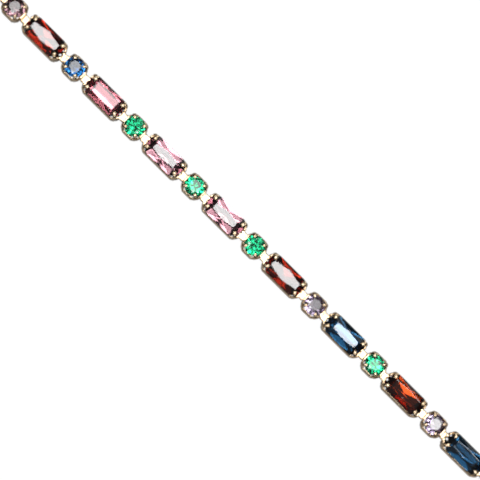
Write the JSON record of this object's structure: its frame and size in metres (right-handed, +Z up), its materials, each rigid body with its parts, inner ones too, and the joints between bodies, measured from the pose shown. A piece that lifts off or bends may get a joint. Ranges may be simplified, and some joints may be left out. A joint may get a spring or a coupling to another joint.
{
  "type": "crystal link bracelet",
  "caption": "Slim closed bracelet of alternating long and small round crystals in pronged collets, joined by flat straps, lying as a loop with a plain clasp.",
  "frame": {"origin": "centre of the bounding box's bottom face, in the middle of the loop on the surface that it lies on", "axes": "+X along the straight front, +Y from the front towards the clasp, +Z up from the undersides towards the crystals' tables"},
  "size_m": [0.0752, 0.0356, 0.002],
  "materials": {
    "gold": "polished pale gold plating",
    "garnet_crystal": "polished dark red crystal",
    "burgundy_crystal": "polished wine red crystal",
    "rose_crystal": "polished pale pink crystal",
    "navy_crystal": "polished dark blue crystal",
    "flame_crystal": "polished orange red crystal",
    "emerald_crystal": "polished green crystal",
    "sapphire_crystal": "polished blue crystal",
    "lilac_crystal": "polished pale violet crystal"
  },
  "bodies": {
    "root": {"link_01": "gold", "link_02": "gold", "link_03": "gold", "link_04": "gold", "link_05": "gold", "link_06": "gold", "link_07": "gold", "link_08": "gold", "link_09": "gold", "link_10": "gold", "link_11": "gold", "link_12": "gold", "link_13": "gold", "link_14": "gold", "link_15": "gold", "link_16": "gold", "link_17": "gold", "link_18": "gold", "link_19": "gold", "link_20": "gold", "link_21": "gold", "link_22": "gold", "baguette_crystal_01": "rose_crystal", "baguette_crystal_02": "navy_crystal", "baguette_crystal_03": "burgundy_crystal", "baguette_crystal_04": "garnet_crystal", "baguette_crystal_05": "flame_crystal", "baguette_crystal_06": "rose_crystal", "baguette_crystal_07": "navy_crystal", "baguette_crystal_08": "garnet_crystal", "baguette_crystal_09": "burgundy_crystal", "baguette_crystal_10": "rose_crystal", "baguette_crystal_11": "rose_crystal", "baguette_crystal_12": "garnet_crystal", "baguette_crystal_13": "navy_crystal", "baguette_crystal_14": "flame_crystal", "baguette_crystal_15": "navy_crystal", "baguette_crystal_16": "burgundy_crystal", "baguette_crystal_17": "rose_crystal", "baguette_crystal_18": "navy_crystal", "baguette_crystal_19": "garnet_crystal", "baguette_crystal_20": "rose_crystal", "baguette_crystal_21": "flame_crystal", "baguette_crystal_22": "burgundy_crystal", "clasp": "gold"}
  },
  "joints": []
}
